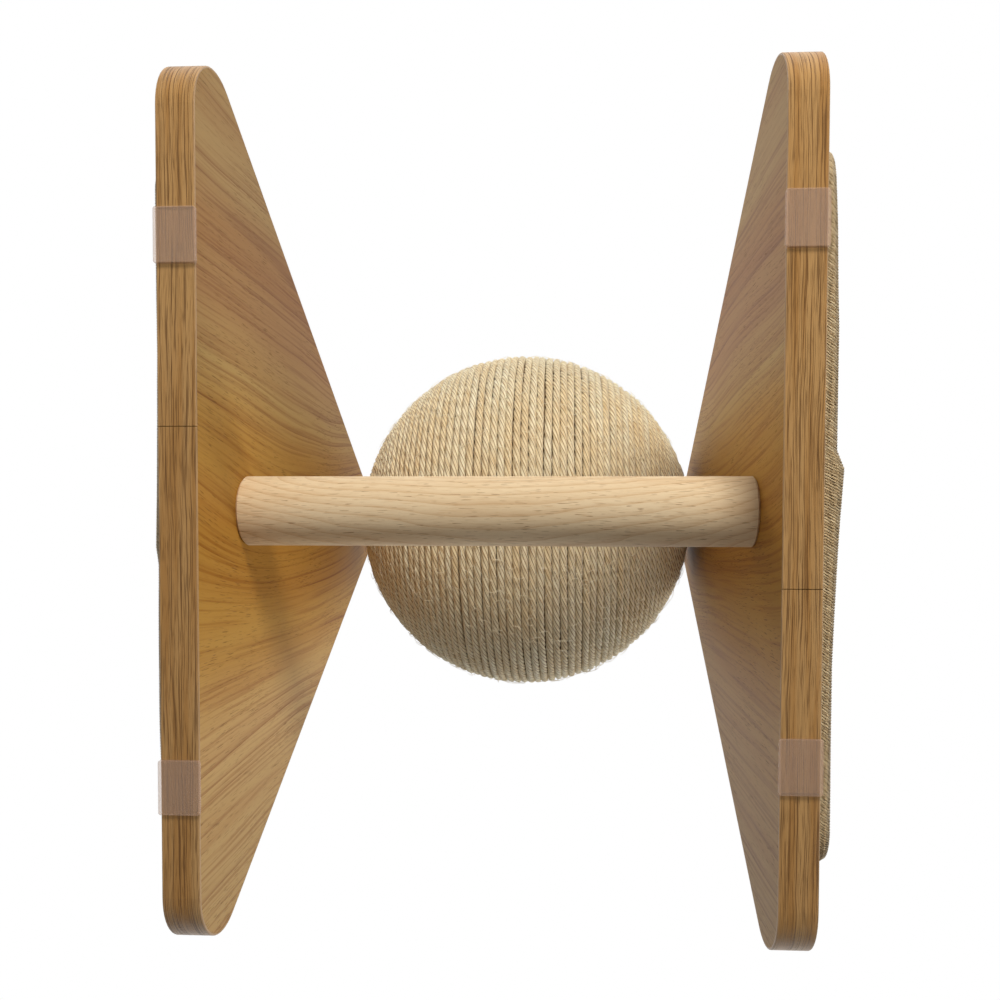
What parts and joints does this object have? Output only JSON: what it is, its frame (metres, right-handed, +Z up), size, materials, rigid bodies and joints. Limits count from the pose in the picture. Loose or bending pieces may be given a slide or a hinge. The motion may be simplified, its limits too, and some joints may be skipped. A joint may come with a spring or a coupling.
{
  "type": "cat scratching ball",
  "caption": "Rope-wound ball that spins on an axle between upright triangular boards with scratching mats, joined by a round crossbar and standing on clear pads.",
  "frame": {"origin": "on the floor, midway between the boards and under their top corners", "axes": "+X from the left board to the right one, along the axle; +Y along the boards' bottom edges; +Z up"},
  "size_m": [0.2742, 0.3438, 0.351],
  "materials": {
    "board": "satin wood-print foil",
    "edge_band": "satin wood-print plastic strip",
    "mat": "flat sisal weave",
    "mat_binding": "overlocked yarn",
    "foot_pad": "clear soft silicone",
    "pine": "sanded bare pine",
    "insert": "turned",
    "bolt": "zinc plated",
    "nylon": "moulded nylon",
    "core": "moulded shell",
    "rope": "laid sisal rope"
  },
  "bodies": {
    "frame": {"left_board": "board", "right_board": "board", "left_edge_band": "edge_band", "right_edge_band": "edge_band", "left_mat": "mat", "right_mat": "mat", "left_mat_binding": "mat_binding", "right_mat_binding": "mat_binding", "foot_pad_left_front": "foot_pad", "foot_pad_left_back": "foot_pad", "foot_pad_right_front": "foot_pad", "foot_pad_right_back": "foot_pad", "crossbar": "pine", "crossbar_inserts": "insert", "crossbar_bolts": "bolt", "axle": "pine", "axle_inserts": "insert", "axle_bolts": "bolt", "left_washer": "nylon", "right_washer": "nylon"},
    "sleeve": {"bearing_sleeve": "nylon", "sleeve_collar": "nylon"},
    "ball": {"ball_core_left": "core", "ball_core_right": "core", "core_tube": "core", "sisal_rope": "rope"}
  },
  "joints": [
    {"name": "ball_float", "type": "slide", "parent": "frame", "child": "sleeve", "axis": [1, 0, 0], "range_m": [-0.009, 0.0016]},
    {"name": "ball_spin", "type": "hinge", "parent": "sleeve", "child": "ball", "pos_m": [0.0037, 0, 0.2475], "axis": [1, 0, 0], "continuous": true}
  ]
}
